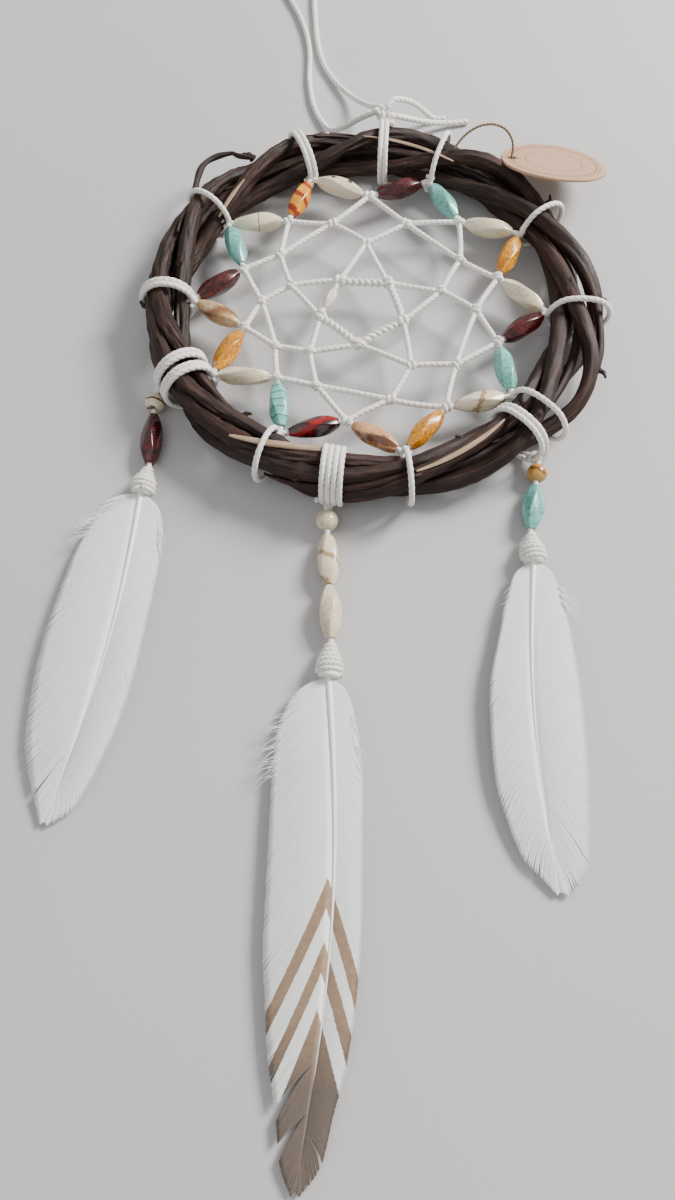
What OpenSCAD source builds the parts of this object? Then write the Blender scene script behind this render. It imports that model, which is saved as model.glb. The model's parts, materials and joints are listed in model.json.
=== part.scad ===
// Dream catcher: a twig hoop with a beaded cord web, three beaded feather pendants, a hanging loop and a tag.
// It lies flat. The hoop is in the XY plane, +Y points to the hanging loop and -Y to the feathers.

/* [Hoop] */
// Outer diameter of the twig hoop
hoop_d = 153; // [125:1:190]
// Thickness of one outer twig
twig_d = 5.4; // [3.5:0.1:5.8]
// Thickness of the thin twig in the middle of the bundle
core_twig_d = 3.2; // [2:0.1:3.6]
// Air between the middle twig and an outer twig
twig_gap = 0.5; // [0.4:0.1:1.2]
// Turns that the twigs make round the bundle in one trip round the hoop
twig_turns = 3; // [1:1:5]
// How far the bundle opens near the hanger
top_spread = 2.2; // [0:0.1:3]
// How far the bundle opens on the right-hand side
side_spread = 3; // [0:0.1:4]

/* [Web] */
// Thickness of the white cotton cord
cord_d = 1.8; // [1.2:0.1:2.2]
// Diameter of a hitch where two cords of the web meet
knot_d = 3; // [2.6:0.1:3.4]
// Thickness of the wrapped ring round the eye of the web
eye_cord_d = 2.8; // [2:0.1:3.4]
// Radius of the eye of the web
eye_r = 14.5; // [11:0.5:17]
// Length of a web bead
bead_l = 16.4; // [13:0.2:18]
// Largest diameter of a web bead
bead_d = 7; // [5:0.1:8]
// Gap between a web bead and the knot beside it
bead_gap = 2.5; // [2.3:0.1:3]
// Length of the stone chip in the eye ring
chip_l = 9; // [6:0.5:10]
// Thickness of the stone chip in the eye ring
chip_d = 4.6; // [4:0.1:6]

/* [Pendants] */
// Diameter of a tube bead on a pendant
tube_bead_d = 7.2; // [5.5:0.1:8]
// Length of the tube bead: left, centre, right
tube_bead_l = [18.4, 16.8, 15.4]; // [12:0.1:20]
// Number of tube beads: left, centre, right
tube_beads = [1, 2, 1]; // [1:1:2]
// Diameter of the round bead: left, centre, right
round_bead_d = [6.5, 7, 6.4]; // [5:0.1:7.2]
// Length of the cord binding on the quill: left, centre, right
binding_l = [9.6, 10.8, 10]; // [7:0.1:14]
// Thickness of the cord binding
binding_d = 7; // [4:0.2:7]
// Length of the feather below its binding: left, centre, right
feather_l = [104, 129, 97]; // [70:1:150]
// Thickness of the quill at the binding
quill_d = 2.2; // [1.4:0.1:2.6]
// Thickness of the vane of a feather
vane_t = 0.7; // [0.5:0.1:1.2]

/* [Tag] */
// Diameter of the round paper tag
tag_d = 38; // [28:1:44]
// Thickness of the paper tag
tag_t = 1; // [0.6:0.1:2]
// Distance from the tag's centre to its hole
tag_hole_at = 15.5; // [10:0.5:16]
// Diameter of the hole in the tag
tag_hole_d = 3.2; // [2.6:0.1:4]
// Slope of the tag, which its twine holds over the edge of the hoop
tag_slope = 25; // [20:1:28]
// Thickness of the hemp twine
twine_d = 1; // [0.6:0.1:1.4]

/* [Fits] */
// Radial clearance of a bead on its cord
bead_clear = 0.1; // [0.05:0.01:0.1]
// Clearance between things that move apart
move_clear = 0.35; // [0.3:0.01:0.5]

/* [Hidden] */
$fn = 32;
cord_r = cord_d / 2;
twig_r = twig_d / 2;
bore_r = cord_r + bead_clear;
wrap_clear = 0.1;                                        // air between a cord wrap and the twigs in it
orbit = core_twig_d / 2 + twig_gap + twig_r;             // centre of an outer twig from the centre of the bundle
bundle_w = 2 * (orbit + twig_r);                         // width of the bundle of twigs
wrap_r = bundle_w / 2 + wrap_clear + cord_r;             // centre of a cord wrapped round the bundle
hoop_z = wrap_r + cord_r;                                // the hoop rests on its wraps
hoop_c = (hoop_d - bundle_w) / 2;                        // radius of the middle of the bundle
top_at = 80;                                             // where the bundle opens, in degrees round the hoop
side_at = -24;
top_reach = 40;
side_reach = 26;

function polar(r, a) = [r * cos(a), r * sin(a)];
function at_z(p, z) = [p[0], p[1], z];
function turn_to(a) = a - 360 * round(a / 360);          // the same angle, between -180 and 180
function bump(a, reach) = exp(-pow(turn_to(a) / reach, 2));
function spread(a) = top_spread * bump(a - top_at, top_reach) + side_spread * bump(a - side_at, side_reach);
function bundle_r(a) = hoop_c + side_spread / 2 * bump(a - side_at, side_reach)
                       - top_spread / 2 * bump(a - top_at, top_reach);
function middle(a, b) = (a + b) / 2;
function mix(a, b, share) = a + (b - a) * share;

// A tube swept along points, each with its own radius. Its sides are flat, and it has level end caps.
function unit(v) = v / norm(v);
function along(p, i) = unit(p[min(i + 1, len(p) - 1)] - p[max(i - 1, 0)]);
function sideways(t) = abs(t[2]) > 0.9 ? unit(cross([1, 0, 0], t)) : unit(cross([0, 0, 1], t));
function tube_ring(c, t, r, n) = let (u = sideways(t), w = cross(t, u))
    [for (k = [0:n - 1]) c + r * cos(360 * k / n) * u + r * sin(360 * k / n) * w];
module tube(points, radii, sides = 8) {
    last = len(points) - 1;
    rings = [for (i = [0:last]) each tube_ring(points[i], along(points, i), radii[i], sides)];
    walls = [for (i = [0:last - 1], k = [0:sides - 1]) let (m = (k + 1) % sides)
        each [[i * sides + k, (i + 1) * sides + k, (i + 1) * sides + m],
              [i * sides + k, (i + 1) * sides + m, i * sides + m]]];
    ends = [[for (k = [0:sides - 1]) k], [for (k = [sides - 1:-1:0]) last * sides + k]];
    polyhedron(rings, concat(walls, ends));
}

// A straight run of cord between two points, cut short by a gap at each end.
module rod(a, b, r, gaps = [0, 0]) {
    d = b - a;
    translate(a) rotate([0, acos(d[2] / norm(d)), atan2(d[1], d[0])])
        translate([0, 0, gaps[0]]) cylinder(h = norm(d) - gaps[0] - gaps[1], r = r);
}

// Smooth points through a few chosen ones.
function spline_point(p, i, t) = let (n = len(p) - 1, a = p[max(i - 1, 0)], b = p[i], c = p[i + 1], d = p[min(i + 2, n)])
    0.5 * (2 * b + (c - a) * t + (2 * a - 5 * b + 4 * c - d) * t * t + (3 * b - a - 3 * c + d) * t * t * t);
function smooth(p, steps) = concat([for (i = [0:len(p) - 2], k = [0:steps - 1]) spline_point(p, i, k / steps)],
                                   [p[len(p) - 1]]);

// ---- Twig hoop ----
twig_sides = 8;
twig_rings = 66;
twigs = 4;

function twig_point(i, a) = let (
        phase = twig_turns * a + 360 / twigs * i,
        r = bundle_r(a) + (orbit + spread(a)) * cos(phase),
        z = hoop_z + orbit * sin(phase))
    at_z(polar(r, a), z);
function twig_radius(i, a, r) = r * (0.95 + 0.05 * sin(7 * a + 80 * i));

module closed_twig(centres, radii) {
    n = len(centres);
    s = twig_sides;
    points = [for (i = [0:n - 1], k = [0:s - 1]) let (a = 360 * i / n, b = 360 * k / s)
        centres[i] + radii[i] * at_z(polar(cos(b), a), sin(b))];
    walls = [for (i = [0:n - 1], k = [0:s - 1]) let (j = (i + 1) % n, m = (k + 1) % s)
        each [[i * s + k, i * s + m, j * s + m], [i * s + k, j * s + m, j * s + k]]];
    polyhedron(points, walls);
}

module vine(i) {
    turns = [for (k = [0:twig_rings - 1]) 360 * k / twig_rings];
    color([0.17, 0.11, 0.1]) closed_twig([for (a = turns) twig_point(i, a)],
                                         [for (a = turns) twig_radius(i, a, twig_r)]);
}

module core_vine() {
    turns = [for (k = [0:twig_rings - 1]) 360 * k / twig_rings];
    color([0.22, 0.14, 0.12]) closed_twig([for (a = turns) at_z(polar(bundle_r(a), a), hoop_z)],
                                          [for (a = turns) twig_radius(5, a, core_twig_d / 2)]);
}

// ---- Cord wraps round the bundle ----
// One turn of cord: a ring, or two half rings joined by straight runs where the bundle is open.
module wrap_turn(half_len) {
    if (half_len < closed_below)
        rotate([90, 0, 0]) rotate_extrude() translate([wrap_r, 0]) circle(r = cord_r);
    else {
        for (side = [-1, 1])
            translate([side * half_len, 0, 0]) rotate([90, 0, 0]) rotate([0, 0, side > 0 ? -90 : 90])
                rotate_extrude(angle = 180) translate([wrap_r, 0]) circle(r = cord_r);
        for (up = [-1, 1])
            translate([-half_len, 0, up * wrap_r]) rotate([0, 90, 0]) cylinder(h = 2 * half_len, r = cord_r);
    }
}

// Some turns side by side at an angle round the hoop.
closed_below = 0.1;                                      // the bundle counts as closed below this spread
module wraps(a, turns) {
    pitch = cord_d + 0.05;
    rotate([0, 0, a]) translate([bundle_r(a), 0, hoop_z])
        for (k = [0:turns - 1])
            translate([0, (k - (turns - 1) / 2) * pitch, 0]) wrap_turn(spread(a));
}

lash_at = [146, 111, 68, 29, -5, -40.5, -81, -119, -150, -180]; // lashings of the web, in degrees round the hoop
lash_turns = [1, 2, 1, 1, 1, 1, 1, 1, 2, 2];
lashes = len(lash_at);

module web_lashings() {
    color([0.93, 0.91, 0.86]) for (i = [0:lashes - 1]) wraps(lash_at[i], lash_turns[i]);
}

// ---- Web ----
// The outer round is a zigzag that carries two beads between neighbouring lashings. Each later round is hitched to
// the middle of the one outside it, and the last is a wrapped ring round the eye.
bead_run = bead_l + 2 * bead_gap;
eye = [-3, -4];
round_2_share = 0.28;                                    // how far in from the beads to the eye ring the rounds lie
round_3_share = 0.6;

function next(i, n) = (i + 1) % n;
function lash_point(i) = polar(bundle_r(lash_at[i]) - spread(lash_at[i]) - wrap_r, lash_at[i]);
function zigzag_point(i) = let (
        a = lash_point(i), b = lash_point(next(i, lashes)), half = norm(b - a) / 2,
        run = max(bead_run, 1.06 * half), inward = unit([(b - a)[1], -(b - a)[0]]))
    middle(a, b) + sqrt(run * run - half * half) * inward;
function toward_eye(p, share) = let (d = norm(p - eye)) eye + unit(p - eye) * mix(d, eye_r, share);
// A hitch in the middle between two outer knots, drawn in to its own share of the way to the eye ring.
function hitch(p, q, depth) = let (d = middle(norm(p - eye), norm(q - eye)))
    eye + unit(unit(p - eye) + unit(q - eye)) * mix(d, eye_r, depth);

LASH = [for (i = [0:lashes - 1]) lash_point(i)];
ZIG = [for (i = [0:lashes - 1]) zigzag_point(i)];
HITCH_2 = [for (i = [0:lashes - 1]) hitch(ZIG[i], ZIG[next(i, lashes)], round_2_share)];
spokes = lashes / 2;
HITCH_3 = [for (i = [0:spokes - 1]) hitch(ZIG[(2 * i + 1) % lashes], ZIG[(2 * i + 1) % lashes], round_3_share)];
EYE = [for (i = [0:spokes - 1]) hitch(HITCH_3[i], HITCH_3[next(i, spokes)], 1)];
chip_edge = 3;                                           // the edge of the eye ring that carries the stone chip

// Each run stops at the skin of the knots and wraps at its ends.
skin = 0.03;
at_lash = cord_d - 0.15;
at_knot = knot_d / 2 + skin;
eye_knot_r = eye_cord_d / 2 + 0.4;
at_eye = eye_knot_r + skin;
at_crossing = 2.7;                                       // where two rounds leave a knot side by side

module web_line(a, b, gaps, r = cord_r) rod(at_z(a, hoop_z), at_z(b, hoop_z), r, gaps);
module web_knot(p, r = knot_d / 2) translate(at_z(p, hoop_z)) sphere(r = r);

module web_round_1() {
    color([0.94, 0.92, 0.88]) {
        for (i = [0:lashes - 1]) {
            web_line(LASH[i], ZIG[i], [at_lash, at_knot]);
            web_line(ZIG[i], LASH[next(i, lashes)], [at_knot, at_lash]);
            web_knot(ZIG[i]);
        }
    }
}

module web_round_2() {
    color([0.94, 0.92, 0.88]) for (i = [0:lashes - 1]) {
        web_line(ZIG[i], HITCH_2[i], [at_knot, at_knot]);
        web_line(HITCH_2[i], ZIG[next(i, lashes)], [at_knot, at_knot]);
        web_knot(HITCH_2[i]);
    }
}

module web_round_3() {
    color([0.94, 0.92, 0.88]) for (i = [0:spokes - 1]) {
        before = HITCH_2[2 * i];
        after = HITCH_2[2 * i + 1];
        web_line(before, HITCH_3[i], [at_crossing, at_knot]);
        web_line(HITCH_3[i], after, [at_knot, at_crossing]);
        web_line(after, HITCH_2[(2 * i + 2) % lashes], [at_crossing, at_crossing]);
        web_knot(HITCH_3[i]);
    }
}

module web_eye() {
    color([0.95, 0.93, 0.88]) for (i = [0:spokes - 1]) {
        web_line(HITCH_3[i], EYE[i], [at_knot, at_eye]);
        web_line(EYE[i], HITCH_3[next(i, spokes)], [at_eye, at_knot]);
        web_line(EYE[i], EYE[next(i, spokes)], [at_eye, at_eye], i == chip_edge ? cord_r : eye_cord_d / 2);
        web_knot(EYE[i], eye_knot_r);
    }
}

// ---- Beads ----
// A long bead about its own Z axis, with its bore, thick in the middle and round at its ends.
module long_bead(l, d, end_share = 0.46) {
    half = l / 2;
    steps = 6;
    end_r = d / 2 * end_share;
    profile = [for (k = [-steps:steps]) let (t = k / steps)
        [end_r + (d / 2 - end_r) * (1 - pow(abs(t), 2.4)), half * t]];
    rotate_extrude() polygon(concat([[bore_r, -half]], profile, [[bore_r, half]]));
}

module round_bead(d) {
    steps = 10;
    flat = asin(bore_r * 2 / d * 1.25);                  // the ball is cut flat round its bore
    profile = [for (k = [0:steps]) let (a = flat + (180 - 2 * flat) * k / steps) [d / 2 * sin(a), -d / 2 * cos(a)]];
    rotate_extrude() polygon(concat([[bore_r, profile[0][1]]], profile, [[bore_r, profile[steps][1]]]));
}

// Places a bead in the middle of a straight run of cord.
module threaded(a, b) {
    d = at_z(b - a, 0);
    translate(at_z(middle(a, b), hoop_z)) rotate([0, 90, atan2(d[1], d[0])]) children();
}

web_bead_count = 2 * lashes;
BEAD_COLOURS = [[0.86, 0.8, 0.66], [0.83, 0.56, 0.1], [0.85, 0.79, 0.64], [0.35, 0.04, 0.05], [0.36, 0.68, 0.62]];
bead_order = [0, 1, 2, 3, 4, 0, 1, 2, 3, 4, 0, 1, 2, 3, 4, 0, 1, 2, 3, 4]; // colours round the hoop from the upper left

module web_bead(n) {
    i = floor((n - 1) / 2);
    from = n % 2 == 1 ? LASH[i] : ZIG[i];
    to = n % 2 == 1 ? ZIG[i] : LASH[next(i, lashes)];
    color(BEAD_COLOURS[bead_order[n - 1]]) threaded(from, to) long_bead(bead_l, bead_d);
}

module centre_chip() {
    color([0.93, 0.9, 0.84]) threaded(EYE[chip_edge], EYE[next(chip_edge, spokes)]) long_bead(chip_l, chip_d, 0.62);
}

// ---- Hanger ----
hanger_at = 85;                                          // degrees round the hoop
hanger_knot = [4.5, hoop_d / 2 + 4.2, 15.4];
hanger_knot_r = 2.6;
hanger_cord_d = 2.2;

module hanger_tie() {
    color([0.95, 0.93, 0.89]) {
        wraps(hanger_at, 2);
        translate(hanger_knot) sphere(r = hanger_knot_r);
    }
}

// Routes of the free cords, from the knot on the hoop, in round numbers.
LOOP_ROUTE = [[2.5, 81.5, 15], [-3, 82.5, 11.5], [-9, 84.5, 6], [-14, 87.5, 2.2], [-18, 94, 1.3], [-21, 103, 1.2],
              [-22.5, 116, 1.2], [-22.5, 130, 1.2], [-24, 142, 1.2], [-27, 153, 1.2], [-31, 163, 1.2],
              [-35, 173, 1.2], [-37, 184, 1.2], [-34, 194, 1.2], [-27, 198, 1.2], [-21, 193, 1.2],
              [-19.5, 183, 1.2], [-20.5, 172, 1.2], [-21, 162, 1.2], [-20.5, 152, 1.2], [-19.5, 138, 1.2],
              [-17, 125, 1.2], [-12, 114, 1.4], [-5.5, 104, 3], [0.5, 94, 7.5], [4, 87, 12.5], [4.8, 83, 15.5]];
TAIL_1_ROUTE = [[6.5, 81.7, 16.6], [9.5, 85, 17.2], [14, 88, 14.5], [18.5, 91, 10], [22.5, 93, 5], [26, 94, 1.8],
                [30, 94.5, 1.2]];
TAIL_2_ROUTE = [[7, 80.6, 14.4], [11, 82, 12.6], [16, 85, 9], [21.5, 87.8, 5.5], [28, 90.5, 2.6], [35, 92.2, 1.3],
                [39, 93, 1.2]];

module free_cord(route, d) color([0.94, 0.92, 0.88]) {
    path = smooth(route, 2);
    tube(path, [for (p = path) d / 2]);
}

module hanger_loop() free_cord(LOOP_ROUTE, hanger_cord_d);
module hanger_tail_1() free_cord(TAIL_1_ROUTE, hanger_cord_d);
module hanger_tail_2() free_cord(TAIL_2_ROUTE, hanger_cord_d);

// ---- Pendants: 0 left, 1 centre, 2 right ----
tie_at = [-155.2, -101, -48.5];                          // degrees round the hoop
tie_out = [2.4, 1.2, 3.3];                               // swing pivot outside the hoop
tie_turns = [2, 4, 2];
strand_lean = [0, 2, -10];                               // degrees from -Y towards +X
feather_lean = [-10.5, -3.4, 0];
strand_z = tube_bead_d / 2;                              // the beads rest on the surface
joint_gap = 0.75;                                        // from a bend in the strand to the beads beside it

function pivot(p) = polar(hoop_d / 2 + tie_out[p], tie_at[p]);
function strand_dir(p) = [sin(strand_lean[p]), -cos(strand_lean[p])];
function round_at(p) = move_clear + 0.6 + round_bead_d[p] / 2;
function lift_at(p) = round_at(p) + round_bead_d[p] / 2 + joint_gap;
function tube_at(p, k) = lift_at(p) + joint_gap + k * (tube_bead_l[p] + 0.3);
function bend_at(p) = tube_at(p, tube_beads[p] - 1) + tube_bead_l[p] + joint_gap;
function on_strand(p, s) = at_z(pivot(p) + s * strand_dir(p), strand_z);

// A run of cord along the strand with round ends.
module strand_cord(p, from, to) {
    steps = 5;
    cap = [for (k = [0:steps]) let (a = 90 * k / steps) cord_r * [sin(a), 1 - cos(a)]];
    tail = [for (k = [steps:-1:0]) [cap[k][0], to - from - cap[k][1]]];
    color([0.92, 0.9, 0.84])
        translate(on_strand(p, from)) rotate([90, 0, strand_lean[p]]) rotate_extrude() polygon(concat(cap, tail));
}

module bead_on_strand(p, s) {
    translate(on_strand(p, s)) rotate([90, 0, strand_lean[p]]) children();
}

module pendant_ties() {
    color([0.93, 0.91, 0.86]) for (p = [0:2]) wraps(tie_at[p], tie_turns[p]);
}

module strand_top(p) strand_cord(p, move_clear, lift_at(p) - move_clear);
module strand_low(p) strand_cord(p, lift_at(p) + move_clear, bend_at(p) - move_clear);
module strand_round_bead(p) {
    color(p == 2 ? [0.72, 0.45, 0.16] : [0.85, 0.79, 0.63])
        bead_on_strand(p, round_at(p)) round_bead(round_bead_d[p]);
}
module strand_tube_bead(p, k) {
    color([[0.33, 0.04, 0.06], [0.86, 0.81, 0.68], [0.36, 0.68, 0.62]][p])
        bead_on_strand(p, tube_at(p, k) + tube_bead_l[p] / 2) long_bead(tube_bead_l[p], tube_bead_d);
}

// Everything below is in the feather's own frame, with the bend at the origin and the feather along -Y.
module feather_frame(p) translate(on_strand(p, bend_at(p))) rotate([0, 0, feather_lean[p]]) children();

binding_top = 0.5;                                       // from the bend to the binding
rachis_bow = [4, 5, -4];                                 // sideways bow of the rachis
arch = 2.6;                                              // how far the feather arches up between binding and tip
camber = 2;                                              // how far its edges droop
tip_z = 0.6;

function binding_end(p) = binding_top + binding_l[p];
function rachis_z(t) = mix(0, tip_z + vane_t - strand_z, t) + arch * sin(180 * t);
function rachis(p, t) = [rachis_bow[p] * sin(180 * t), -binding_end(p) - feather_l[p] * t, rachis_z(t)];

module feather_binding(p) color([0.93, 0.91, 0.87]) feather_frame(p) {
    dome = binding_d / 2 * 0.8;
    steps = 5;
    cap = [for (k = [0:steps]) [dome * sin(90 * k / steps), dome * (1 - cos(90 * k / steps))]];
    rotate([90, 0, 0]) translate([0, 0, binding_top])
        rotate_extrude() polygon(concat(cap, [[binding_d / 2, binding_l[p] * 0.6], [binding_d / 2, binding_l[p] - 0.8],
                                              [binding_d / 2 - 0.7, binding_l[p]], [0, binding_l[p]]]));
}

// The quill runs from inside the binding to near the tip, and gets thinner.
module feather_quill(p) color([0.9, 0.88, 0.8]) feather_frame(p) {
    steps = 14;
    in_binding = [0, -binding_end(p) + 0.6 * binding_l[p], 0];
    path = concat([in_binding], [for (k = [0:steps]) rachis(p, 0.96 * k / steps)]);
    tube(path, concat([quill_d / 2], [for (k = [0:steps]) mix(quill_d / 2, 0.3, k / steps)]));
}

// Width of the vane to the left and right of the quill, at shares of the feather's length.
VANE = [
    [[0.01, 3, 3], [0.05, 12, 7], [0.12, 14, 9], [0.24, 17.5, 9.5], [0.4, 19.5, 9.5], [0.55, 19.5, 10],
     [0.7, 17, 10], [0.8, 14, 9], [0.88, 9.5, 8], [0.95, 4.5, 6], [1, 1, 1]],
    [[0.01, 3, 3], [0.04, 10, 5.5], [0.1, 14.5, 7], [0.2, 17, 8], [0.38, 18, 7.5], [0.56, 17.5, 8], [0.68, 15, 8],
     [0.78, 12, 7.5], [0.87, 8, 6], [0.95, 5, 5], [1, 1, 1]],
    [[0.01, 3, 3], [0.05, 6, 6.5], [0.12, 7.5, 9], [0.25, 9.5, 12], [0.4, 12, 14], [0.55, 12.5, 14.5],
     [0.7, 12.5, 13.5], [0.8, 11, 12], [0.9, 8.5, 10], [0.96, 4, 7], [1, 1, 2]]
];

// Height of the vane's edge at a distance from the quill: it droops, and stops at the surface below.
function edge_z(z, w) = max(z - camber * pow(w / 20, 2), vane_t - strand_z);

module feather_vane(p) color([0.82, 0.85, 0.88]) feather_frame(p) {
    rows = VANE[p];
    corners = 6;
    // A shallow roof across the feather: edge, quill, edge, above and then below.
    points = [for (row = rows) let (c = rachis(p, row[0]), l = row[1], r = row[2],
                                    lz = edge_z(c[2], l), rz = edge_z(c[2], r))
        each [[c[0] - l, c[1], lz], c + [0, 0, vane_t / 2], [c[0] + r, c[1], rz],
              [c[0] + r, c[1], rz - vane_t], c - [0, 0, vane_t / 2], [c[0] - l, c[1], lz - vane_t]]];
    walls = [for (i = [0:len(rows) - 2], k = [0:corners - 1]) let (m = (k + 1) % corners)
        each [[i * corners + k, i * corners + m, (i + 1) * corners + m],
              [i * corners + k, (i + 1) * corners + m, (i + 1) * corners + k]]];
    last = (len(rows) - 1) * corners;
    ends = [[0, 5, 4], [0, 4, 1], [1, 4, 3], [1, 3, 2],
            [last, last + 4, last + 5], [last, last + 1, last + 4], [last + 1, last + 3, last + 4],
            [last + 1, last + 2, last + 3]];
    polyhedron(points, concat(walls, ends));
}

// ---- Tag ----
tag_at = 41.4;                                           // degrees round the hoop
tag_facing = 80;                                         // direction in which it slopes down
tag_hole_turn = 95;                                      // direction of the hole from the tag's centre
tag_out = 12;                                            // its centre outside the hoop
tag_rise = 3.6;                                          // its centre above the middle of the bundle
tag_c_r = hoop_d / 2 + tag_out;
tag_c_z = hoop_z + tag_rise;

module tag_frame() translate(at_z(polar(tag_c_r, tag_at), tag_c_z)) rotate([0, 0, tag_facing])
    rotate([0, tag_slope, 0]) children();

module tag() color([0.73, 0.56, 0.42]) tag_frame() difference() {
    translate([0, 0, -tag_t / 2]) cylinder(h = tag_t, r = tag_d / 2, $fn = 96);
    translate(at_z(polar(tag_hole_at, tag_hole_turn), -tag_t)) cylinder(h = 2 * tag_t, r = tag_hole_d / 2);
}

// The twine comes off the hoop, goes down through the hole and back under the tag's edge.
TWINE_ROUTE = [[30, 60, 17.6], [33.5, 63, 20.5], [38, 65, 22.5], [43, 66, 22.8], [47.5, 65.8, 21.4],
               [50.4, 64.3, 19], [51.4, 62.2, 16.8], [51.2, 60.4, 14.2], [51, 59.2, 12], [51.6, 58.2, 10.4]];
module tag_twine() color([0.45, 0.34, 0.22]) {
    path = smooth(TWINE_ROUTE, 3);
    tube(path, [for (p = path) twine_d / 2]);
}

// ---- Placing ----
// The origin is under the middle of the object's outline.
function feather_tip(p) = let (a = feather_lean[p], b = on_strand(p, bend_at(p)), r = binding_end(p) + feather_l[p])
    [b[0] + r * sin(a), b[1] - r * cos(a)];
left_end = min([for (row = VANE[0]) let (b = on_strand(0, bend_at(0)), c = rachis(0, row[0]), a = feather_lean[0])
    b[0] + (c[0] - row[1]) * cos(a) - c[1] * sin(a)]);
right_end = tag_c_r * cos(tag_at) + tag_d / 2 * sqrt(1 - pow(sin(tag_slope) * cos(tag_facing), 2))
            + tag_t / 2 * sin(tag_slope) * cos(tag_facing);
far_end = hanger_knot[1] + hanger_knot_r;
near_end = feather_tip(1)[1];
module placed() translate([-middle(left_end, right_end), -middle(near_end, far_end), 0]) children();

function two_digits(n) = n < 10 ? str("0", n) : str(n);
WEB_BEADS = [for (n = [1:web_bead_count]) str("web_bead_", two_digits(n))];
SIDES = ["left", "centre", "right"];
PENDANT_PARTS = ["strand_top", "round_bead", "strand_low", "tube_bead", "binding", "quill", "vane"];

placed() vine(0);  // vine_1
placed() vine(1);  // vine_2
placed() vine(2);  // vine_3
placed() vine(3);  // vine_4
placed() core_vine();  // vine_core
placed() web_lashings();
placed() web_round_1();
placed() web_round_2();
placed() web_round_3();
placed() web_eye();
placed() centre_chip();
placed() hanger_tie();
placed() hanger_loop();
placed() hanger_tail_1();
placed() hanger_tail_2();
placed() pendant_ties();
placed() tag();
placed() tag_twine();
for (n = [1:web_bead_count]) placed() web_bead(n);
for (p = [0:2]) {
    placed() strand_top(p);
    placed() strand_round_bead(p);
    placed() strand_low(p);
    placed() strand_tube_bead(p, 0);
    placed() feather_binding(p);
    placed() feather_quill(p);
    placed() feather_vane(p);
}
placed() strand_tube_bead(1, 1);  // centre_tube_bead_2
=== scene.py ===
import json
import random
from math import asin, copysign, cos, degrees, exp, hypot, pi, radians, sin, sqrt, tau

import bpy
from mathutils import Matrix, Vector, noise


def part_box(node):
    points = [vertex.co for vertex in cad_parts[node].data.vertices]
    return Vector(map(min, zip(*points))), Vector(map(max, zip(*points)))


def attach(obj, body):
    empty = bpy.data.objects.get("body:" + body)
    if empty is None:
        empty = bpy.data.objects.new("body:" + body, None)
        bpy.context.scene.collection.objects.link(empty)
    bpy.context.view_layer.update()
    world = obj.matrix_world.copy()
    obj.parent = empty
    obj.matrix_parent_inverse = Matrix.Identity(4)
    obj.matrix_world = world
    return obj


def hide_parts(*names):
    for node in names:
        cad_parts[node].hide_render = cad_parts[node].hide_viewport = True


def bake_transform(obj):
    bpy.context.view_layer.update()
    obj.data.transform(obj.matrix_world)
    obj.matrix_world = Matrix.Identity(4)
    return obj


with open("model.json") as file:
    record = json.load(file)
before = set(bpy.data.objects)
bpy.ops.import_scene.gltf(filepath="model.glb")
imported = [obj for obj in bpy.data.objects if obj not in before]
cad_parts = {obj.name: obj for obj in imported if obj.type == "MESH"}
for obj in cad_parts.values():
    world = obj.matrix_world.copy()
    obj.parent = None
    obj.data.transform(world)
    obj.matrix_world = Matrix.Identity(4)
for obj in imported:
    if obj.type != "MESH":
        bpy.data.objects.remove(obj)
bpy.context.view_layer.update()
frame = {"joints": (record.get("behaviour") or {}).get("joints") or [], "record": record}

# Shapes are worked out in millimetres from the middle of the hoop, and become metres in the row frame when built.
MM = 0.001
HOOP = Vector(next(m["pos_m"] for m in frame["record"]["mounts"] if m["name"] == "lying_plane"))
JOINTS = {joint["name"]: joint for joint in frame["joints"]}
UP = Vector((0, 0, 1))


def to_row(point):
    return HOOP + Vector(point) * MM


def joint_at(name):
    """Where a joint is, in millimetres from the middle of the hoop."""
    return (Vector(JOINTS[name]["pos_m"]) - HOOP) / MM


def joint_axis(name):
    return Vector(JOINTS[name]["axis"]).normalized()


# ---- Camera ----
FOCAL_SHARE = 0.75                     # focal length as a share of the picture's height
CAMERA_MM = Vector((-11.4, -208.7, 254.4))
CAMERA_TILT = 22                       # degrees from straight down


def add_camera():
    data = bpy.data.cameras.new("camera")
    data.sensor_fit = "VERTICAL"
    data.sensor_height = 24
    data.lens = FOCAL_SHARE * data.sensor_height
    camera = bpy.data.objects.new("camera", data)
    camera.location = to_row(CAMERA_MM)
    camera.rotation_euler = (radians(CAMERA_TILT), 0, 0)
    bpy.context.scene.collection.objects.link(camera)
    bpy.context.scene.camera = camera


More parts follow.
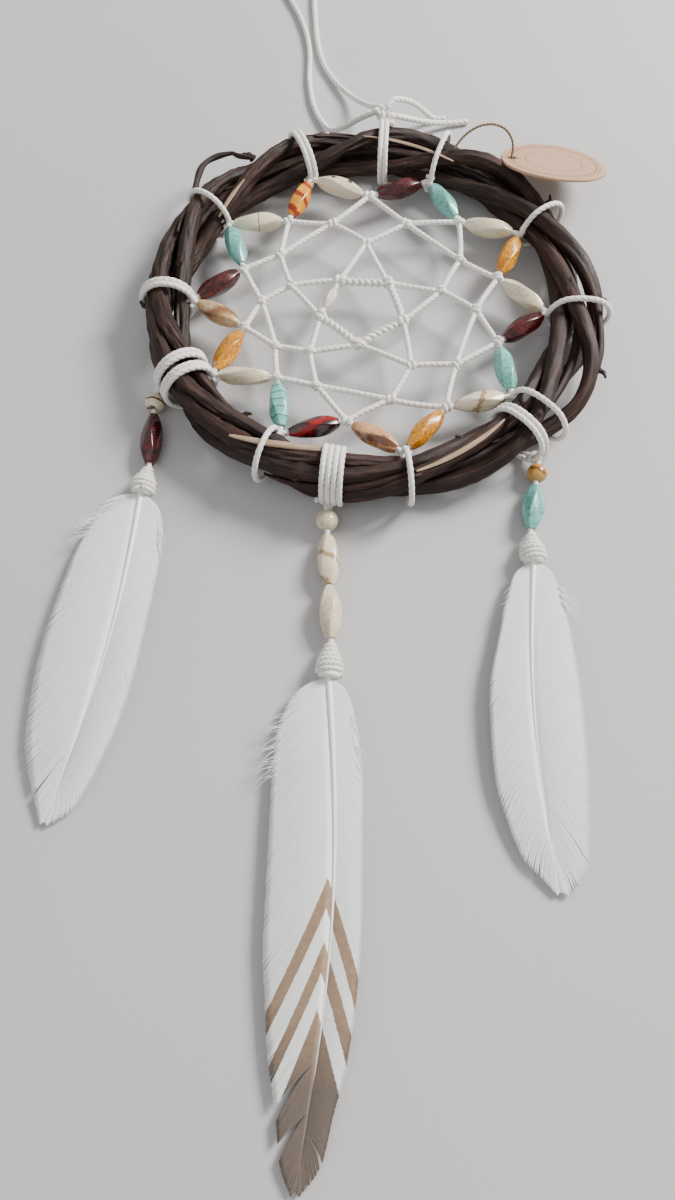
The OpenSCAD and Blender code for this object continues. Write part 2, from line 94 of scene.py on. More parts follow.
# ---- Shader helpers ----
class Nodes:
    """Adds and links shader nodes in a material with short calls."""

    def __init__(self, name, roughness=0.5, **settings):
        self.material = bpy.data.materials.new(name)
        self.material.use_nodes = True
        self.tree = self.material.node_tree
        self.bsdf = self.tree.nodes["Principled BSDF"]
        self.bsdf.inputs["Roughness"].default_value = roughness
        for socket, value in settings.items():
            self.bsdf.inputs[socket.replace("_", " ")].default_value = value

    def add(self, kind, inputs=None, **settings):
        node = self.tree.nodes.new("ShaderNode" + kind)
        for key, value in settings.items():
            setattr(node, key, value)
        for key, value in (inputs or {}).items():
            self.put(value, node.inputs[key])
        return node

    def put(self, value, socket):
        if isinstance(value, bpy.types.NodeSocket):
            self.tree.links.new(value, socket)
        else:
            socket.default_value = value

    def grain(self, x=1.0, y=1.0, z=1.0):
        """The piece's own coordinates in millimetres, scaled along each axis."""
        own = self.add("Attribute", attribute_name="grain").outputs["Vector"]
        return self.add("VectorMath", {0: own, 1: (x, y, z)}, operation="MULTIPLY").outputs["Vector"]

    def axes(self):
        """The piece's own X, Y and Z in millimetres."""
        return self.add("SeparateXYZ", {0: self.grain()}).outputs[:3]

    def noise(self, vector, scale=1.0, detail=4.0, roughness=0.6, distortion=0.0):
        return self.add("TexNoise", {"Vector": vector, "Scale": scale, "Detail": detail, "Roughness": roughness,
                                     "Distortion": distortion}).outputs["Fac"]

    def ramp(self, fac, *stops):
        """A colour ramp through (place, grey or colour) stops."""
        node = self.add("ValToRGB", {"Fac": fac})
        points = node.color_ramp.elements
        while len(points) < len(stops):
            points.new(0.5)
        for point, (place, colour) in zip(points, stops):
            point.position = place
            point.color = (*((colour,) * 3 if isinstance(colour, (int, float)) else colour), 1)
        return node.outputs["Color"]

    def mix(self, fac, a, b, blend="MIX"):
        node = self.add("Mix", data_type="RGBA", blend_type=blend)
        for key, value in ((0, fac), (6, a), (7, b)):
            self.put((*value, 1) if isinstance(value, tuple) else value, node.inputs[key])
        return node.outputs[2]

    def math(self, operation, a, b=0.0, c=0.0):
        return self.add("Math", {0: a, 1: b, 2: c}, operation=operation).outputs["Value"]

    def finish(self, colour, roughness=None, height=None, strength=0.3, distance=0.2):
        self.put(colour, self.bsdf.inputs["Base Color"])
        if roughness is not None:
            self.put(roughness, self.bsdf.inputs["Roughness"])
        if height is not None:
            bump = self.add("Bump", {"Strength": strength, "Distance": distance * MM, "Height": height})
            self.put(bump.outputs["Normal"], self.bsdf.inputs["Normal"])
        return self.material


# ---- Materials ----
POLISH = {"Coat_Weight": 0.35, "Coat_Roughness": 0.14}


def bark_material(name, dark, mid, light):
    n = Nodes(name, roughness=0.6)
    n.bsdf.inputs["Specular IOR Level"].default_value = 0.3
    streaks = n.noise(n.grain(1.3, 1.3, 0.09), detail=7.0, roughness=0.65)
    patches = n.noise(n.grain(0.16, 0.16, 0.05), detail=3.0)
    fibres = n.noise(n.grain(5.0, 5.0, 0.3), detail=3.0)
    colour = n.ramp(streaks, (0.3, dark), (0.52, mid), (0.74, light))
    faded = n.mix(n.ramp(patches, (0.45, 0.0), (0.7, 0.75)), colour, n.mix(0.5, colour, light))
    colour = n.mix(n.ramp(fibres, (0.35, 0.0), (0.65, 1.0)), n.mix(0.55, faded, dark), faded)
    height = n.math("ADD", streaks, n.math("MULTIPLY", fibres, 0.5))
    return n.finish(colour, n.ramp(patches, (0.3, 0.42), (0.7, 0.68)), height, strength=0.75, distance=0.35)


def cord_material(name, light, shade, fuzz=0.5):
    n = Nodes(name, roughness=0.85, Sheen_Weight=fuzz, Sheen_Roughness=0.5)
    fibres = n.noise(n.grain(4.0, 4.0, 1.4), detail=5.0, roughness=0.7)
    wear = n.noise(n.grain(0.12, 0.12, 0.05), detail=2.0)
    colour = n.mix(n.ramp(fibres, (0.34, 1.0), (0.6, 0.0)), light, shade)
    colour = n.mix(n.ramp(wear, (0.4, 0.0), (0.75, 0.35)), colour, shade)
    return n.finish(colour, None, fibres, strength=0.55, distance=0.15)


def marble_material(name, base, veins, pale, vein_width=0.06, gloss=0.2, scale=0.32):
    """Polished stone or bone: cloudy patches and thin dark veins."""
    n = Nodes(name, roughness=gloss, **POLISH)
    clouds = n.noise(n.grain(scale, scale, scale * 0.55), detail=4.0, distortion=1.2)
    cracks = n.noise(n.grain(scale, scale, scale * 0.8), detail=6.0, roughness=0.55, distortion=2.2)
    colour = n.ramp(clouds, (0.32, base), (0.7, pale))
    line = n.ramp(cracks, (0.5 - vein_width, 0.0), (0.5, 1.0), (0.5 + vein_width, 0.0))
    colour = n.mix(n.math("MULTIPLY", line, 0.85), colour, veins)
    pits = n.noise(n.grain(2.2, 2.2, 2.2), detail=3.0)
    return n.finish(colour, n.ramp(pits, (0.3, gloss + 0.16), (0.6, gloss)), cracks, strength=0.18, distance=0.2)


def striped_material(name, base, stripes, pale, turns=1.0, pitch=5.0, sharp=0.12, share=0.5, gloss=0.2):
    """Polished bead with stripes that wind round it, worked from its own angle and length."""
    n = Nodes(name, roughness=gloss, **POLISH)
    x, y, z = n.axes()
    angle = n.math("MULTIPLY", n.math("ARCTAN2", y, x), turns)
    clouds = n.noise(n.grain(0.5, 0.5, 0.3), detail=4.0, distortion=0.8)
    wobble = n.math("MULTIPLY", n.math("SUBTRACT", clouds, 0.5), 3.2)
    run = n.math("MULTIPLY", z, tau / pitch)
    wave = n.math("SINE", n.math("ADD", n.math("ADD", angle, run), wobble))
    wave = n.math("MULTIPLY_ADD", wave, 0.5, 0.5)
    band = n.ramp(wave, (share, 0.0), (min(share + sharp, 1.0), 1.0))
    colour = n.mix(band, n.ramp(clouds, (0.35, base), (0.68, pale)), stripes)
    return n.finish(colour, n.ramp(clouds, (0.3, gloss + 0.12), (0.6, gloss)), wave, strength=0.2, distance=0.15)


def dotted_material(name, base, marks, pale, at):
    """Polished bone with dark marks round it, each (place along the bead, size, how far round it runs)."""
    n = Nodes(name, roughness=0.25, Coat_Weight=0.5, Coat_Roughness=0.1)
    x, _, z = n.axes()
    clouds = n.noise(n.grain(0.45, 0.45, 0.12), detail=4.0, distortion=0.6)
    colour = n.ramp(clouds, (0.3, base), (0.7, pale))
    wobble = n.math("MULTIPLY", n.math("SUBTRACT", n.noise(n.grain(0.9, 0.9, 0.9)), 0.5), 0.8)
    for place, size, width in at:
        off = n.math("ABSOLUTE", n.math("SUBTRACT", n.math("ADD", z, wobble), place))
        along = n.math("LESS_THAN", off, size)
        across = n.math("LESS_THAN", n.math("ABSOLUTE", x), width)
        colour = n.mix(n.math("MULTIPLY", n.math("MULTIPLY", along, across), 0.9), colour, marks)
    return n.finish(colour, n.ramp(clouds, (0.3, 0.34), (0.65, 0.22)), clouds, strength=0.15, distance=0.2)


PAINT_MIDDLE = -1.6                    # the painted chevrons stand a little left of the rachis, in mm
# Where each painted chevron starts and ends down the feather, in mm, and how steeply its left and right legs run.
CHEVRONS = [(55.8, 63.5, 2.6, 2.5), (71.7, 79.2, 2.95, 2.3), (87.7, 400, 3.6, 2.3)]
BRONZE = (0.23, 0.13, 0.062)
BRONZE_LIGHT = (0.36, 0.22, 0.11)
TIP_BROWN = (0.05, 0.034, 0.025)


def vane_material(name, painted):
    n = Nodes(name, roughness=0.55, Sheen_Weight=0.25, Subsurface_Weight=0.12)
    n.bsdf.inputs["Subsurface Radius"].default_value = (0.004, 0.004, 0.004)
    n.bsdf.inputs["Specular IOR Level"].default_value = 0.4
    fine = n.noise(n.grain(0.5, 3.5, 1.0), detail=4.0)
    soft = n.noise(n.grain(0.11, 0.05, 1.0), detail=2.0)
    colour = n.ramp(fine, (0.3, (0.80, 0.83, 0.84)), (0.55, (0.91, 0.925, 0.93)), (0.75, (0.95, 0.96, 0.96)))
    colour = n.mix(n.ramp(soft, (0.4, 0.0), (0.75, 0.4)), colour, (0.93, 0.92, 0.89))
    if painted:
        x, y, _ = n.axes()
        side = n.math("SUBTRACT", x, PAINT_MIDDLE)
        ragged = n.math("MULTIPLY", n.math("SUBTRACT", n.noise(n.grain(1.1, 1.1, 1.0), detail=3.0), 0.5), 1.6)
        down = n.math("ADD", y, ragged)
        speckle = n.noise(n.grain(0.8, 0.8, 1.0), detail=5.0, roughness=0.7)
        bronze = n.ramp(speckle, (0.35, BRONZE), (0.7, BRONZE_LIGHT))
        deep = n.add("MapRange", {"Value": y, "From Min": 88.0, "From Max": 106.0}).outputs["Result"]
        bronze = n.mix(deep, bronze, n.mix(n.math("MULTIPLY", speckle, 0.5), TIP_BROWN, BRONZE))
        for start, end, left, right in CHEVRONS:
            slope = n.math("MULTIPLY_ADD", n.math("GREATER_THAN", side, 0.0), right - left, left)
            level = n.math("SUBTRACT", down, n.math("MULTIPLY", n.math("ABSOLUTE", side), slope))
            inside = n.math("MULTIPLY", n.math("GREATER_THAN", level, start), n.math("LESS_THAN", level, end))
            colour = n.mix(n.math("MULTIPLY", inside, 0.94), colour, bronze)
    return n.finish(colour, None, fine, strength=0.35, distance=0.12)


def quill_material():
    n = Nodes("quill", roughness=0.35, Coat_Weight=0.2)
    soft = n.noise(n.grain(0.6, 0.6, 0.06), detail=3.0)
    return n.finish(n.ramp(soft, (0.3, (0.84, 0.82, 0.76)), (0.7, (0.93, 0.92, 0.89))), None, soft, strength=0.2)


def kraft_material():
    """Kraft card printed with plain rings."""
    n = Nodes("kraft card", roughness=0.8)
    x, y, z = n.axes()
    away = n.math("SQRT", n.math("ADD", n.math("POWER", x, 2.0),
                                 n.math("POWER", y, 2.0)))
    fibres = n.noise(n.grain(1.1, 3.0, 1.0), detail=6.0, roughness=0.7)
    flecks = n.noise(n.grain(3.5, 3.5, 3.5), detail=2.0)
    colour = n.ramp(fibres, (0.3, (0.36, 0.205, 0.125)), (0.7, (0.56, 0.35, 0.23)))
    colour = n.mix(n.ramp(flecks, (0.68, 0.0), (0.74, 0.6)), colour, (0.2, 0.1, 0.06))
    top = n.math("GREATER_THAN", z, 0.0)
    worn = n.ramp(flecks, (0.3, 0.35), (0.5, 1.0))
    for radius, width in ((16.6, 0.28), (15.4, 0.55), (10.2, 0.3)):
        ring = n.math("LESS_THAN", n.math("ABSOLUTE", n.math("SUBTRACT", away, radius)), width / 2)
        ink = n.math("MULTIPLY", n.math("MULTIPLY", ring, top), n.math("MULTIPLY", worn, 0.75))
        colour = n.mix(ink, colour, (0.07, 0.035, 0.025))
    return n.finish(colour, None, fibres, strength=0.35, distance=0.12)


def floor_material():
    n = Nodes("floor", roughness=0.75)
    place = n.add("TexCoord").outputs["Object"]
    soft = n.noise(place, scale=2.5, detail=2.0)
    fine = n.noise(place, scale=260.0, detail=3.0)
    colour = n.ramp(soft, (0.3, (0.47, 0.465, 0.47)), (0.7, (0.535, 0.53, 0.535)))
    return n.finish(colour, None, fine, strength=0.08, distance=0.3)


CREAM = (0.60, 0.50, 0.33)
CREAM_PALE = (0.78, 0.71, 0.55)
INK = (0.02, 0.012, 0.01)
BARK = bark_material("bark", (0.004, 0.002, 0.0017), (0.019, 0.0085, 0.0065), (0.10, 0.05, 0.036))
BARK_RED = bark_material("red bark", (0.005, 0.0022, 0.0018), (0.026, 0.010, 0.0072), (0.13, 0.06, 0.042))
SPLIT_WOOD = bark_material("split wood", (0.20, 0.12, 0.07), (0.42, 0.30, 0.20), (0.62, 0.50, 0.38))
COTTON = cord_material("cotton", (0.93, 0.925, 0.90), (0.72, 0.69, 0.62))
HEMP = cord_material("hemp", (0.30, 0.20, 0.11), (0.11, 0.065, 0.035), fuzz=0.2)
WAXED = cord_material("waxed thread", (0.93, 0.92, 0.88), (0.74, 0.71, 0.64))
LOOKS = {
    "cream": marble_material("cream bone", CREAM, (0.30, 0.20, 0.10), CREAM_PALE, vein_width=0.02),
    "cream_line": dotted_material("lined bone", CREAM, INK, CREAM_PALE, [(0.2, 0.14, 9.0)]),
    "cream_dots": dotted_material("dotted bone", CREAM, INK, CREAM_PALE, [(-3.0, 0.75, 0.9), (3.4, 0.75, 0.9)]),
    "cream_ridge": striped_material("ridged bone", CREAM, (0.36, 0.25, 0.13), CREAM_PALE, 1.0, 9.0, 0.1, 0.85),
    "cream_rings": striped_material("ringed bone", CREAM, (0.10, 0.06, 0.04), CREAM_PALE, 1.0, 3.0, 0.12, 0.8),
    "amber": marble_material("amber", (0.50, 0.17, 0.005), (0.14, 0.018, 0.003), (0.78, 0.37, 0.02), 0.05),
    "amber_spiral": striped_material("spiral amber", (0.52, 0.18, 0.006), (0.25, 0.022, 0.004),
                                     (0.78, 0.38, 0.02), 1.0, 6.0, 0.25, 0.6),
    "dark_red": marble_material("dark red", (0.007, 0.002, 0.002), (0.16, 0.005, 0.006), (0.035, 0.003, 0.004), 0.05),
    "red_streak": striped_material("streaked red", (0.008, 0.002, 0.002), (0.26, 0.007, 0.007),
                                   (0.032, 0.003, 0.004), 1.0, 40.0, 0.2, 0.82),
    "turquoise": marble_material("turquoise", (0.10, 0.40, 0.34), (0.025, 0.09, 0.075), (0.24, 0.56, 0.50), 0.035),
    "turquoise_rings": striped_material("ringed turquoise", (0.11, 0.40, 0.34), (0.05, 0.19, 0.16),
                                        (0.24, 0.56, 0.50), 0.0, 2.9, 0.1, 0.88),
    "peach": striped_material("peach stone", (0.46, 0.20, 0.09), (0.17, 0.06, 0.025), (0.66, 0.38, 0.20),
                              2.0, 30.0, 0.3, 0.62),
    "tan": striped_material("tan stone", (0.46, 0.27, 0.12), (0.22, 0.10, 0.04), (0.66, 0.47, 0.27),
                            1.0, 22.0, 0.3, 0.7),
    "wood": striped_material("wood", (0.42, 0.19, 0.035), (0.18, 0.06, 0.01), (0.58, 0.32, 0.08),
                             1.0, 5.0, 0.3, 0.7),
    "stone": marble_material("white stone", (0.62, 0.57, 0.45), (0.40, 0.33, 0.22), (0.86, 0.84, 0.76), 0.03),
}


# ---- Mesh helpers ----
class Shape:
    """Points in millimetres with their own coordinates, and the faces between them."""

    def __init__(self):
        self.points = []
        self.grain = []
        self.faces = []

    def ring(self, points, grain):
        first = len(self.points)
        self.points.extend(points)
        self.grain.extend(grain)
        return list(range(first, len(self.points)))

    def bridge(self, a, b):
        """Quads between two rings of as many points."""
        n = len(a)
        for k in range(n):
            self.faces.append((a[k], a[(k + 1) % n], b[(k + 1) % n], b[k]))

    def cap(self, ring, flip=False):
        self.faces.append(tuple(reversed(ring)) if flip else tuple(ring))


def build(name, shape, material, body, replaces=(), place=None):
    """Makes the piece, in metres, and lets it ride on its body; where body is (a, b, start, end), it is only fixed in
    place and rides on no body.
    """
    mesh = bpy.data.meshes.new(name)
    points = shape.points if place is None else [place @ p for p in shape.points]
    mesh.from_pydata([to_row(p) for p in points], [], shape.faces)
    own = mesh.attributes.new("grain", "FLOAT_VECTOR", "POINT")
    own.data.foreach_set("vector", [c for g in shape.grain for c in g])
    mesh.polygons.foreach_set("use_smooth", [True] * len(mesh.polygons))
    mesh.materials.append(material)
    piece = bpy.data.objects.new(name, mesh)
    bpy.context.scene.collection.objects.link(piece)
    if isinstance(body, tuple):
        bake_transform(piece)
    else:
        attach(piece, body)
    if replaces:
        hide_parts(*replaces)
    return piece


def smooth(route, steps):
    """Points on one smooth curve through a route's points."""
    p = [Vector(q) for q in route]
    out = []
    for i in range(len(p) - 1):
        a, b, c, d = p[max(i - 1, 0)], p[i], p[i + 1], p[min(i + 2, len(p) - 1)]
        for k in range(steps):
            t = k / steps
            out.append(0.5 * (2 * b + (c - a) * t + (2 * a - 5 * b + 4 * c - d) * t * t
                              + (3 * b - a - 3 * c + d) * t ** 3))
    return out + [p[-1]]


def even(path, step):
    """The same path with its points a step apart."""
    out = [path[0]]
    left = step
    for a, b in zip(path, path[1:]):
        run = (b - a).length
        done = 0.0
        while run - done >= left:
            done += left
            out.append(a.lerp(b, done / run))
            left = step
        left -= run - done
    if (out[-1] - path[-1]).length > step / 4:
        out.append(path[-1])
    return out


def tangents(path):
    last = len(path) - 1
    return [(path[min(i + 1, last)] - path[max(i - 1, 0)]).normalized() for i in range(last + 1)]


def round_section(_angle):
    return 1.0


def plied(angle, plies=3):
    """Outline of twisted plies seen end on: round lobes that meet in grooves."""
    lobe = pi / plies
    turn = (angle + lobe) % (2 * lobe) - lobe
    middle = 0.3
    return middle * cos(turn) + sqrt((1 - middle) ** 2 - (middle * sin(turn)) ** 2)


def two_plied(angle):
    return 0.62 + 0.38 * abs(cos(angle))


def sweep(shape, path, radius, sides=12, section=round_section, pitch=0.0, flat=1.0):
    """A tube along a path. radius is a number, or a function of the share of the way along. pitch is the length of
    one turn of the section, and flat squeezes it upright."""
    side = None
    before = None
    run = 0.0
    ring = None
    last = len(path) - 1
    for i, (p, along) in enumerate(zip(path, tangents(path))):
        side = along.orthogonal() if side is None else side
        if abs(flat - 1) > 0.001:
            side = along.cross(UP)
        side = (side - along * side.dot(along)).normalized()
        up = along.cross(side)
        run += (p - before).length if before is not None else 0.0
        before = p
        r = radius(i / last) if callable(radius) else radius
        turned = tau * run / pitch if pitch else 0.0
        points, grain = [], []
        for k in range(sides):
            angle = tau * k / sides
            reach = r * section(angle)
            x = reach * cos(angle + turned)
            y = reach * sin(angle + turned) * flat
            points.append(p + side * x + up * y)
            grain.append((reach * cos(angle), reach * sin(angle), run))
        new = shape.ring(points, grain)
        if ring is None:
            shape.cap(new, flip=True)
        else:
            shape.bridge(ring, new)
        ring = new
    shape.cap(ring)


CORD_SIDES = 15
CORD_STEP = 0.5
CORD_LAY = 6.0                         # length of one turn of the cord's plies
CORD_R = 0.97


def twisted_cord(shape, path, radius=CORD_R, lay=CORD_LAY):
    sweep(shape, even(path, CORD_STEP), radius, CORD_SIDES, plied, lay)


# ---- Free cords ----
LOOP_ROUTE = [(2.5, 81.5, 15), (-3, 82.5, 11.5), (-9, 84.5, 6), (-14, 87.5, 2.2), (-18, 94, 1.3), (-21, 103, 1.2),
              (-22.5, 116, 1.2), (-22.5, 130, 1.2), (-24, 142, 1.2), (-27, 153, 1.2), (-31, 163, 1.2),
              (-35, 173, 1.2), (-37, 184, 1.2), (-34, 194, 1.2), (-27, 198, 1.2), (-21, 193, 1.2),
              (-19.5, 183, 1.2), (-20.5, 172, 1.2), (-21, 162, 1.2), (-20.5, 152, 1.2), (-19.5, 138, 1.2),
              (-17, 125, 1.2), (-12, 114, 1.4), (-5.5, 104, 3), (0.5, 94, 7.5), (4, 87, 12.5), (4.8, 83, 15.5)]
TAIL_1_ROUTE = [(6.5, 81.7, 16.6), (9.5, 85, 17.2), (14, 88, 14.5), (18.5, 91, 10), (22.5, 93, 5), (26, 94, 1.8),
                (30, 94.5, 1.2)]
TAIL_2_ROUTE = [(7, 80.6, 14.4), (11, 82, 12.6), (16, 85, 9), (21.5, 87.8, 5.5), (28, 90.5, 2.6), (35, 92.2, 1.3),
                (39, 93, 1.2)]
TWINE_ROUTE = [(30, 60, 17.6), (33.5, 63, 20.5), (38, 65, 22.5), (43, 66, 22.8), (47.5, 65.8, 21.4),
               (50.4, 64.3, 19), (51.4, 62.2, 16.8), (51.2, 60.4, 14.2), (51, 59.2, 12), (51.6, 58.2, 10.4)]
HANGER_D = 2.2
HANGER_LAY = 7.0
TWINE_D = 1.0
TWINE_LAY = 2.6


def free_cord(name, route, length, diameter, far_end, material, slot, section=plied, lay=CORD_LAY):
    path = even(smooth(route, 12), CORD_STEP)
    shape = Shape()
    sweep(shape, path, diameter / 2, CORD_SIDES, section, lay)
    cord = build(name + "_cord", shape, material, "hoop", replaces=(name,))


def add_free_cords():
    cotton = (COTTON, "cotton_cord")
    free_cord("hanger_loop", LOOP_ROUTE, 0.269, HANGER_D, "object", *cotton, lay=HANGER_LAY)
    free_cord("hanger_tail_1", TAIL_1_ROUTE, 0.0334, HANGER_D, "bare", *cotton, lay=HANGER_LAY)
    free_cord("hanger_tail_2", TAIL_2_ROUTE, 0.0376, HANGER_D, "bare", *cotton, lay=HANGER_LAY)
    free_cord("tag_twine", TWINE_ROUTE, 0.0357, TWINE_D, "object", HEMP, "hemp_twine", two_plied, lay=TWINE_LAY)


# ---- Twig hoop ----
HOOP_Z = 9.4
HOOP_C = 69.0                          # radius of the middle of the bundle
ORBIT = 4.8                            # from the middle of the bundle to the middle of a twig
TWIG_R = 2.7
TWIG_TURNS = 3
TOP_SPREAD, TOP_AT, TOP_REACH = 2.2, 80, 40
SIDE_SPREAD, SIDE_AT, SIDE_REACH = 3.0, -24, 26


def swell(angle, reach):
    turn = (angle + 180) % 360 - 180
    return exp(-(turn / reach) ** 2)


def spread(angle):
    """How far the bundle opens on each side of its middle."""
    return TOP_SPREAD * swell(angle - TOP_AT, TOP_REACH) + SIDE_SPREAD * swell(angle - SIDE_AT, SIDE_REACH)


def bundle_r(angle):
    return (HOOP_C + SIDE_SPREAD / 2 * swell(angle - SIDE_AT, SIDE_REACH)
            - TOP_SPREAD / 2 * swell(angle - TOP_AT, TOP_REACH))


def polar(r, angle, z=0.0):
    return Vector((r * cos(radians(angle)), r * sin(radians(angle)), z))


def on_bundle(angle, phase, orbit=ORBIT):
    """A point beside the middle of the bundle, at a phase round it in degrees from outward."""
    turn = radians(phase)
    return polar(bundle_r(angle) + (orbit + spread(angle)) * cos(turn), angle, HOOP_Z + orbit * sin(turn))


def bark_ridges(seed, angle, run):
    """Share that the bark adds to a twig's radius: long ridges, fine cracks and a few swollen joints."""
    c, s = cos(angle), sin(angle)
    broad = noise.noise(Vector((c * 1.3, s * 1.3 + seed * 7.3, run * 0.035)))
    ridge = 1 - 2 * abs(noise.noise(Vector((c * 2.6 + seed * 3.1, s * 2.6, run * 0.07))))
    crack = noise.noise(Vector((c * 6.0, s * 6.0 - seed * 5.7, run * 0.22)))
    joint = exp(-((run + seed * 23.0) % 74.0 - 37.0) ** 2 / 5.0)
    return 0.20 * broad + 0.20 * ridge - 0.16 + 0.09 * crack + 0.16 * joint * (0.6 + 0.4 * c)


def twig(shape, centre, start, end, radius, seed, step=0.8, sides=30, blunt=0.0):
    """A twig along centre(angle) from one angle to another. blunt is the share of it over which each end thins."""
    span = end - start
    closed = blunt == 0.0
    count = round(radians(span) * HOOP_C / step)
    rings = []
    run = 0.0
    before = None
    for i in range(count if closed else count + 1):
        share = i / count
        angle = start + span * share
        p = centre(angle)
        run += (p - before).length if before is not None else 0.0
        before = p
        out = polar(1, angle)
        r = radius(angle)
        if not closed:
            r *= min(1.0, 0.35 + 0.65 * min(share, 1 - share) / blunt)
        points, grain = [], []
        for k in range(sides):
            turn = tau * k / sides
            fade = min(1.0, 8 * min(share, 1 - share)) if closed else 1.0
            reach = r * (1 + fade * bark_ridges(seed, turn, run))
            points.append(p + out * (reach * cos(turn)) + UP * (reach * sin(turn)))
            grain.append((r * cos(turn), r * sin(turn), run + seed * 90.0))
        rings.append(shape.ring(points, grain))
    for a, b in zip(rings, rings[1:]):
        shape.bridge(a, b)
    if closed:
        shape.bridge(rings[-1], rings[0])
    else:
        shape.cap(rings[0], flip=True)
        shape.cap(rings[-1])


def twig_phase(i, angle):
    """Where a thick twig lies round the bundle: it winds unevenly, so gaps open and close."""
    return (TWIG_TURNS * angle + 90 * i + 24 * sin(radians(2 * angle + 75 * i))
            + 11 * sin(radians(5 * angle + 140 * i)))


def add_main_twigs():
    for i in range(4):
        shape = Shape()

        def centre(angle):
            return on_bundle(angle, twig_phase(i, angle))

        def radius(angle):
            return TWIG_R * (1.02 + 0.10 * sin(radians(5 * angle + 80 * i)))

        twig(shape, centre, 0, 360, radius, seed=i + 1)
        build(f"vine_bark_{i + 1}", shape, BARK_RED if i % 2 else BARK, "hoop", (f"vine_{i + 1}",))
    shape = Shape()
    twig(shape, lambda angle: polar(bundle_r(angle), angle, HOOP_Z), 0, 360, lambda angle: 1.55, seed=6, sides=16)
    build("vine_bark_core", shape, BARK, "hoop", ("vine_core",))


# Thin side twigs in the grooves: start and end angle, phase of the groove, radius, how far out they stand.
SIDE_TWIGS = [(-62, 60, 45, 1.3, 5.4), (150, 262, 225, 1.5, 5.4), (-118, -22, 315, 1.2, 5.6), (96, 160, 315, 1.1, 5.8)]
# Buds and cut stubs: angle round the hoop, phase round the bundle, length, base radius.
BUDS = [(124, 20, 4.6, 1.5), (131, 350, 5.2, 1.3), (0, 5, 4.4, 1.2), (-3, 330, 3.6, 1.0), (-22, 15, 4.2, 1.1),
        (171, 120, 3.4, 1.2), (183, 10, 4.0, 1.3), (-79, 60, 3.6, 1.1), (-131, 160, 3.4, 1.2), (33, 20, 3.8, 1.0),
        (104, 10, 3.0, 1.0), (-47, 75, 5.0, 1.9), (-108, 30, 3.0, 0.9), (146, 170, 3.2, 1.0), (-64, 150, 3.2, 1.0)]
# Long pale splits where the bark is torn off: start and end angle, phase at the start and end, width.
SPLITS = [(-128, -98, 60, 150, 1.25), (-80, -52, 70, 115, 0.9), (148, 133, 150, 120, 0.8), (62, 92, 120, 95, 0.7)]


def add_side_twigs():
    shape = Shape()
    for k, (start, end, groove, radius, out) in enumerate(SIDE_TWIGS):

        def centre(angle):
            lift = 0.35 * sin(radians(9 * angle + 50 * k))
            return on_bundle(angle, TWIG_TURNS * angle + groove, out + lift)

        twig(shape, centre, start, end, lambda angle: radius, seed=10 + k, step=0.7, sides=16, blunt=0.12)
    build("vine_side_twigs", shape, BARK_RED, "hoop")


def add_buds():
    shape = Shape()
    rng = random.Random(5)
    for angle, phase, length, base in BUDS:
        root = on_bundle(angle, phase, ORBIT + 1.2)
        outward = (root - polar(bundle_r(angle), angle, HOOP_Z)).normalized()
        along = polar(1, angle + 90) * rng.choice((-1, 1))
        mid = root + outward * length * 0.45 + along * length * 0.15
        tip = root + outward * length * 0.75 + along * length * 0.6
        path = even(smooth([root, mid, tip], 8), 0.35)
        sweep(shape, path, lambda t: base * (1 - 0.72 * t) * (1 + 0.12 * sin(17 * t)), 10, flat=0.9)
    build("vine_buds", shape, BARK, "hoop")


def add_tendril():
    """A thin tendril that springs off the upper left of the hoop and turns back into it."""
    shape = Shape()
    ends = [on_bundle(146, 10, 6.2), polar(79.5, 141, 12), polar(83.5, 136, 12), polar(84.6, 131.5, 11),
            polar(82.4, 127.5, 11), polar(79.0, 127.0, 12), on_bundle(124, 25, 6.0)]
    path = even(smooth(ends, 10), 0.5)
    sweep(shape, path, lambda t: 1.35 - 0.6 * t + 0.14 * sin(23 * t), 12)
    build("vine_tendril", shape, BARK, "hoop")


def add_splits():
    shape = Shape()
    for start, end, phase, last, width in SPLITS:
        count = 26
        path = [on_bundle(start + (end - start) * k / count, phase + (last - phase) * k / count, ORBIT + TWIG_R + 0.1)
                for k in range(count + 1)]
        path = even(smooth(path, 3), 0.8)
        sweep(shape, path, lambda t: width * (0.25 + 0.75 * sin(pi * min(1, t * 0.9 + 0.08))), 10, flat=0.42)
    build("vine_splits", shape, SPLIT_WOOD, "hoop")


def add_bark_strips():
    """Loose strips of bark that lift at one end."""
    shape = Shape()
    rng = random.Random(11)
    for _ in range(46):
        angle = rng.uniform(0, 360)
        i = rng.randrange(4)
        length = rng.uniform(5, 17)
        wide = rng.uniform(0.45, 1.0)
        lift = rng.uniform(0.2, 1.1)
        roll = rng.uniform(20, 160)
        side = rng.choice((-1, 1))
        path = []
        for k in range(9):
            t = k / 8
            a = angle + side * degrees(length * t / HOOP_C)
            c = on_bundle(a, twig_phase(i, a))
            turn = radians(roll + 12 * t)
            away = TWIG_R * 1.02 + lift * t ** 2.5
            path.append(c + polar(1, a) * (away * cos(turn)) + UP * (away * sin(turn)))
        sweep(shape, even(path, 0.7), lambda t: wide * (1 - 0.75 * t) * (0.4 + min(0.6, 6 * t)), 8, flat=0.4)
    build("vine_loose_bark", shape, BARK_RED, "hoop")


# ---- Cord wraps round the bundle ----
WRAP_R = 8.5
WRAP_PITCH = 1.85
LASH_AT = [146, 111, 68, 29, -5, -40.5, -81, -119, -150, -180]
LASH_TURNS = [1, 2, 1, 1, 1, 1, 1, 1, 2, 2]
LASHES = len(LASH_AT)


